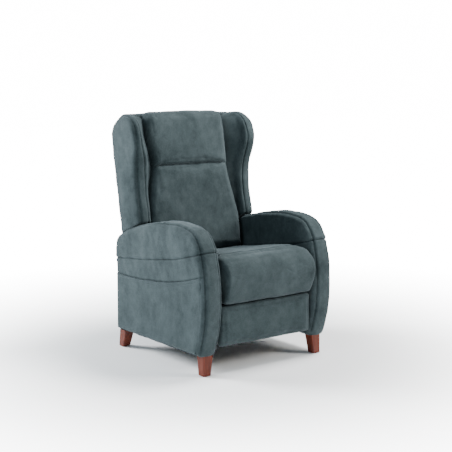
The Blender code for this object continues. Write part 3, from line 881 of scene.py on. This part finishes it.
# %% Build the wings
def build_wing(name, side):
    low, high = 0.200, 0.350
    bm = thick_plate([(low, y, z) for y, z in wing_outline()], (high - low, 0, 0))
    piece = make_piece(f"wing_cover_{name}", bm, cover_cloth)
    even_skin(piece, 2)
    points, _ = read_points(piece.data)
    from_edge = distance_to_path(points[:, 1:], wing_edge)
    share = np.clip((points[:, 0] - low) / (high - low), 0.0, 1.0)
    extra = right_side_extra(points[:, 2]) * (side < 0)
    inner = wing_inner(points[:, 1], points[:, 2], from_edge) + extra
    outer = wing_outer(points[:, 1], points[:, 2], from_edge)
    points[:, 0] = side * (inner + (outer - inner) * share)
    write_points(piece.data, points)
    if side < 0:
        piece.data.flip_normals()
    round_off(piece, 5)
    subdivide(piece)

    points, normals = read_points(piece.data)
    across = np.abs(points[:, 0])
    sewn = smooth_step(0.016, 0.006, distance_to_path(points[:, 1:], wing_edge[:-CURVE_STEPS - 1]))
    extra = right_side_extra(points[:, 2]) * (side < 0)
    from_inner = across - np.interp(points[:, 2], BAND_HEIGHTS, WELT_INNER_X) - extra
    from_outer = across - np.interp(points[:, 2], BAND_HEIGHTS, BAND_OUTER_X) + WELT_OUTER_INSET
    welts = (groove(from_inner, 0.0040, 0.0034) + groove(from_outer, 0.0050, 0.0060)) * sewn
    uneven = 0.0010 * ripples(points, 0.13, 21) + 0.0003 * ripples(points, 0.05, 22)
    points += normals * (welts + uneven + 0.0015)[:, None]
    write_points(piece.data, carried(points, back_to_world))
    # welt marks: crushed pile at the stitches, and painted shade in the welts' valleys, broad at the
    # outer one
    mark_seams_and_shade(piece, sewn * (0.60 * near_seam(from_inner, 0.0028)
                              + 0.32 * near_seam(from_outer, 0.0065)))
    dress(piece, "backrest", [f"wing_pad_{name}", f"wing_board_{name}"])


for wing_name, wing_side in SIDES:
    build_wing(wing_name, wing_side)

# %% [markdown]
# ## Cushions
#
# The seat, back and head cushions are softer than the arms, so they are blown up by cloth
# simulation. Afterwards the sides that lie on the frame are pressed flat again.


# %% Cushion from a node
def node_shape(node_name):
    """A CAD node's mesh with its loose triangles merged into big faces."""
    bm = bmesh.new()
    bm.from_mesh(frame["nodes"][node_name].data)
    bmesh.ops.remove_doubles(bm, verts=bm.verts[:], dist=0.0001)
    bmesh.ops.dissolve_limit(bm, angle_limit=math.radians(1.0), verts=bm.verts[:], edges=bm.edges[:])
    return bm


# %% [markdown]
# The seat cushion starts as its CAD solid with rounded ends. It rolls over its front edge and
# hangs down in front. The roll's left end swells at half height, and its right end is drawn in
# there by the seam of its end panel, where painted shade darkens it. Another seam joins the top
# panel to the roll, and a few shallow folds run from the ends.

# %% Seat cushion
SEAT_UNDERSIDE = 0.3168
SEAT_REAR = 0.151
SEAT_HALF_WIDTH = 0.2585
ROLL_DROP, ROLL_BOTTOM = 0.007, 0.3045
ROLL_MIDDLE, ROLL_HALF = 0.405, 0.105
ROLL_SWELL = 0.011           # how far the roll's left end swells at half height
GUSSET = 0.012               # how far the roll's right end is drawn in at half height
TOP_SEAM_Y = -0.296
# depth of each fold in the roll's front, with its line as (x, z) points
ROLL_FOLDS = ((0.0014, ((0.205, 0.352), (0.150, 0.398), (0.090, 0.430))),
              (0.0012, ((-0.240, 0.452), (-0.200, 0.425), (-0.170, 0.415))),
              (0.0009, ((0.225, 0.430), (0.180, 0.440))))


def build_seat():
    bm = node_shape("seat_cushion")
    ends = [edge for edge in bm.edges if lies_in_side(edge)]
    bmesh.ops.bevel(bm, geom=ends, offset=0.016, segments=3, profile=0.5, affect="EDGES", material=-1)
    piece = make_piece("seat_cushion_cover", bm, cover_cloth)
    even_skin(piece, 4)
    inflate(piece, 4.0, 0.012)
    subdivide(piece)
    points, normals = read_points(piece.data)
    x, y, z = points.T
    front = smooth_step(-0.24, -0.33, y)
    full = np.clip(1 - ((z - ROLL_MIDDLE) / ROLL_HALF) ** 2, 0, 1) * front
    shifted = ROLL_SWELL * full * smooth_step(0.15, 0.25, x)
    shifted = shifted + GUSSET * full * smooth_step(-0.22, -0.25, x)
    from_top_seam = y - TOP_SEAM_Y
    on_top = smooth_step(0.46, 0.49, z)
    top_seam = groove(from_top_seam, 0.0040, 0.0060) * on_top
    folds = sum(-depth * near_seam(distance_to_path(points[:, ::2], np.array(line)), 0.0045)
                for depth, line in ROLL_FOLDS) * smooth_step(-0.37, -0.385, y)
    uneven = 0.0013 * ripples(points, 0.14, 31) + 0.0006 * ripples(points, 0.05, 32)
    moved = points + normals * (top_seam + folds + uneven)[:, None]
    moved[:, 0] += shifted
    moved[:, 2] -= ROLL_DROP * front * smooth_step(0.36, 0.325, z)
    moved[:, 0] = np.clip(moved[:, 0], -SEAT_HALF_WIDTH, SEAT_HALF_WIDTH)
    moved[:, 2] = np.maximum(moved[:, 2], np.where(moved[:, 1] > -0.31, SEAT_UNDERSIDE, ROLL_BOTTOM))
    moved[:, 1] = np.minimum(moved[:, 1], SEAT_REAR)
    write_points(piece.data, moved)
    # top seam mark: crushed pile and painted shade in its groove; the second term is painted shade on the
    # roll's drawn-in right end
    mark_seams_and_shade(piece, 0.35 * near_seam(from_top_seam, 0.006) * on_top
               + 0.3 * full * smooth_step(-0.238, -0.25, x))
    dress(piece, "seat", ["seat_cushion"])


build_seat()

# %% [markdown]
# The back cushion stands between the wings and narrows towards the head. The head cushion sits
# above it, and the crease between them is just where two full edges meet. Each is a plate with
# its outline, and its front is domed: full in the middle, and rounded off over a few centimetres
# towards its edges, where it tucks in beside the wings. On the right the cushions reach further
# behind the wing and are rounded off more quickly, so they look fuller there.
#
# A dome is five sizes: the thickness at the edge and in the middle, and how far the rounding
# reaches in from the sides, the bottom and the top.

# %% Back and head cushions
CUSHION_FRONT = -0.070
BACK_CUSHION_OUTLINE = ((0.110, 0.254), (0.250, 0.256), (0.316, 0.250), (0.367, 0.240),
                        (0.417, 0.228), (0.467, 0.219), (0.538, 0.212))
HEAD_CUSHION_OUTLINE = ((0.523, 0.212), (0.620, 0.214), (0.700, 0.214), (0.752, 0.212),
                        (0.778, 0.196), (0.788, 0.165))
BACK_CUSHION_DOME = (0.012, 0.056, 0.046, 0.040, 0.010)
HEAD_CUSHION_DOME = (0.012, 0.064, 0.048, 0.014, 0.045)
CUSHION_CAP = 0.008          # how far the simulation may move a point
RIGHT_SIDE_ROUND = 0.024
FULLER_RIGHT = 0.012         # how much further the cushions reach behind the right wing


def cushion_plate(half_widths):
    """A plate across the back, given by half widths at heights along it."""
    left = [(half, height) for height, half in half_widths]
    right = [(-half - FULLER_RIGHT - right_side_extra(height), height)
             for half, height in reversed(left)]
    return thick_plate([(x, CUSHION_FRONT, z) for x, z in left + right],
                       (0, CUSHION_BACK - CUSHION_FRONT, 0))


def dome_depth(points, half_widths, edge_depth, full_depth, round_sides, round_low, round_high):
    """How thick the cushion is at each point of its outline; its right side is packed fuller."""
    round_sides = np.where(points[:, 0] < 0, RIGHT_SIDE_ROUND, round_sides)
    heights = [height for height, half in half_widths]
    halves = [half for height, half in half_widths]
    reach = np.interp(points[:, 2], heights, halves)
    reach += (FULLER_RIGHT + right_side_extra(points[:, 2])) * (points[:, 0] < 0)
    from_side = reach - np.abs(points[:, 0])
    low = points[:, 2] - heights[0]
    high = heights[-1] - points[:, 2]
    share = 1 - np.maximum.reduce([quarter_round(from_side / round_sides),
                                   quarter_round(low / round_low), quarter_round(high / round_high)])
    return edge_depth + (full_depth - edge_depth) * share


def build_back_cushion(name, node_name, outline, dome, seed):
    piece = make_piece(name, cushion_plate(outline), cover_cloth)
    even_skin(piece, 2)
    points, _ = read_points(piece.data)
    share = np.clip((CUSHION_BACK - points[:, 1]) / (CUSHION_BACK - CUSHION_FRONT), 0.0, 1.0)
    points[:, 1] = CUSHION_BACK - share * dome_depth(points, outline, *dome)
    write_points(piece.data, points)
    round_off(piece, 6)
    inflate(piece, 4.0, CUSHION_CAP)
    subdivide(piece)
    points, normals = read_points(piece.data)
    uneven = 0.0014 * ripples(points, 0.15, seed) + 0.0006 * ripples(points, 0.05, seed + 1)
    points += normals * uneven[:, None]
    points[:, 1] = np.minimum(points[:, 1], CUSHION_BACK)
    write_points(piece.data, carried(points, back_to_world))
    dress(piece, "backrest", [node_name])


build_back_cushion("back_cushion_cover", "back_cushion", BACK_CUSHION_OUTLINE, BACK_CUSHION_DOME,
                   seed=41)
build_back_cushion("head_cushion_cover", "headrest_cushion", HEAD_CUSHION_OUTLINE,
                   HEAD_CUSHION_DOME, seed=45)

# %% [markdown]
# ## Rear panels and the footrest
#
# The rear panel of the back rolls over the top of the frame. The lower panel closes the base. Both
# are thinly padded boards. The panel of the footrest is thicker, so it is blown up a little, and
# made slightly wider than its board.


# %% Thin padded panels
def build_panel(name, node_name, body, seed, bevel=0.0, blow=0.0, widen=1.0):
    bm = node_shape(node_name)
    if bevel:
        bmesh.ops.bevel(bm, geom=bm.edges[:], offset=bevel, segments=3, profile=0.5, affect="EDGES",
                        material=-1)
    piece = make_piece(name, bm, cover_cloth)
    even_skin(piece, 4)
    if blow:
        inflate(piece, 3.0, blow)
    subdivide(piece)
    points, normals = read_points(piece.data)
    uneven = 0.0009 * ripples(points, 0.12, seed) + 0.0004 * ripples(points, 0.045, seed + 1)
    points = points + normals * uneven[:, None]
    points[:, 0] *= widen
    write_points(piece.data, points)
    dress(piece, body, [node_name])
    return piece


rear_cover = build_panel("back_rear_cover", "back_panel", "backrest", 51, bevel=0.006)
lower_rear_cover = build_panel("lower_rear_cover", "rear_panel", "base", 53)
build_panel("footrest_cover", "footrest_pad", "footrest", 55, blow=0.006, widen=1.018)

# %% [markdown]
# ## Cloth that crosses the hinge
#
# Behind the hinge a strip of the cover cloth hangs between the lower rear panel and the back, so
# that no gap shows. Its lower edge starts just below the top of the lower rear panel, and its
# upper edge is tucked in behind the back's rear cover.


# %% Rear flap
FLAP_CLOTH = 0.0015
FLAP_TOP = (0.2560, 0.500)   # Y and Z of its upper edge, tucked in behind the rear cover
FLAP_BULGE, FLAP_WAVES = 0.006, 0.0008


def build_flap():
    piece, across, up = flat_sheet("rear_flap", 80, 24, cover_cloth)
    low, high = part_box("rear_panel")
    half = high.x - 0.003
    x = across * 2 * half
    up = up + 0.5
    start_y, start_z = low.y - 0.003, high.z - 0.030
    end_y, end_z = FLAP_TOP
    free = np.sin(math.pi * up)
    y = start_y + (end_y - start_y) * up + FLAP_BULGE * free + FLAP_WAVES * np.sin(x / 0.021) * free
    z = start_z + (end_z - start_z) * up
    lay_sheet(piece, x, y, z, FLAP_CLOTH, 0.0)
    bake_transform(piece)
    shade_smooth(piece)


build_flap()

# %% [markdown]
# ## Dust cloth
#
# The underside is closed by thin black cloth, stapled tight round the edge. It sags a little in
# the middle.


# %% Dust cloth
DUST_CLOTH = 0.0008
DUST_SAG = 0.006


def build_dust_cloth():
    low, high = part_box("dust_cover")
    piece, across, along = flat_sheet("dust_cloth", 60, 44, lining_cloth)
    x = across * (high.x - low.x)
    y = low.y + (along + 0.5) * (high.y - low.y)
    sag = np.cos(across * math.pi) * np.cos(along * math.pi)
    z = high.z - DUST_CLOTH - DUST_SAG * np.clip(sag, 0, 1)
    lay_sheet(piece, x, y, z, DUST_CLOTH)
    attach(piece, "base")
    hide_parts("dust_cover")
    shade_smooth(piece)


build_dust_cloth()

# %% [markdown]
# ## The studio
#
# The chair stands on a pale floor that melts into a white backdrop some way behind it. A large
# soft light stands behind the chair on the sitter's right, so that the outside of that arm and
# wing is bright while the inner sides stay deep. A light overhead models the tops, a slightly
# warm one in front on the left opens up the front faces, and a weak, cool one on the right fills
# the shadows. What the camera sees of the backdrop is brighter than what lights the chair, which
# keeps the shadows.


# %% Floor
FLOOR_NEAR = 0.55            # within this distance the floor shows only light and shadow
FLOOR_FAR = 2.9              # beyond this it is the white backdrop
BACKDROP = 16.0


def build_floor():
    bm = bmesh.new()
    bmesh.ops.create_grid(bm, x_segments=1, y_segments=1, size=20.0)
    material, tree, shader = new_material("studio_floor", {"Roughness": 0.95})
    shader.inputs["Base Color"].default_value = (0.95, 0.95, 0.955, 1.0)
    place = add_node(tree, "ShaderNodeTexCoord")
    away = add_node(tree, "ShaderNodeVectorMath", operation="LENGTH",
                    links={0: place.outputs["Object"]})
    fade = add_node(tree, "ShaderNodeMapRange", {"From Min": FLOOR_NEAR, "From Max": FLOOR_FAR},
                    {"Value": away.outputs["Value"]}, interpolation_type="SMOOTHSTEP")
    eye = add_node(tree, "ShaderNodeLightPath")
    seen = add_node(tree, "ShaderNodeMath", links={0: fade.outputs[0], 1: eye.outputs["Is Camera Ray"]},
                    operation="MULTIPLY")
    power = add_node(tree, "ShaderNodeMath", {1: BACKDROP}, {0: seen.outputs[0]}, operation="MULTIPLY")
    shader.inputs["Emission Color"].default_value = (1.0, 1.0, 1.0, 1.0)
    tree.links.new(power.outputs[0], shader.inputs["Emission Strength"])
    floor = make_piece("studio_floor", bm, material)


build_floor()


# %% Lights
def add_light(name, place, aim, size, power, colour):
    data = bpy.data.lights.new(name, "AREA")
    data.shape = "RECTANGLE"
    data.size = size
    data.size_y = size
    data.energy = power
    data.color = colour
    light = bpy.data.objects.new(name, data)
    light.location = place
    light.rotation_euler = (Vector(aim) - Vector(place)).to_track_quat("-Z", "Y").to_euler()
    scene.collection.objects.link(light)


add_light("key_light", (-2.9, 3.3, 2.4), (0, 0, 0.5), 1.8, 530.0, (0.94, 0.975, 1.0))
add_light("top_light", (1.4, -0.6, 3.4), (0, 0, 0.6), 1.2, 190.0, (1.0, 1.0, 1.0))
add_light("front_light", (3.0, -3.3, 2.5), (0, 0, 0.8), 1.4, 185.0, (1.0, 0.99, 0.96))
add_light("fill_light", (-3.4, -1.2, 2.4), (0.3, 0, 0.6), 1.6, 46.0, (0.78, 0.92, 1.0))


def build_world():
    world = bpy.data.worlds.new("studio")
    world.use_nodes = True
    tree = world.node_tree
    ambient = tree.nodes["Background"]
    ambient.inputs["Color"].default_value = (0.80, 0.92, 1.0, 1.0)
    ambient.inputs["Strength"].default_value = 0.31
    white = add_node(tree, "ShaderNodeBackground", {"Color": (1.0, 1.0, 1.0, 1.0),
                                                     "Strength": BACKDROP})
    eye = add_node(tree, "ShaderNodeLightPath")
    both = add_node(tree, "ShaderNodeMixShader", links={
        0: eye.outputs["Is Camera Ray"], 1: ambient.outputs[0], 2: white.outputs[0]})
    tree.links.new(both.outputs[0], tree.nodes["World Output"].inputs["Surface"])
    scene.world = world


build_world()
print("studio ready")
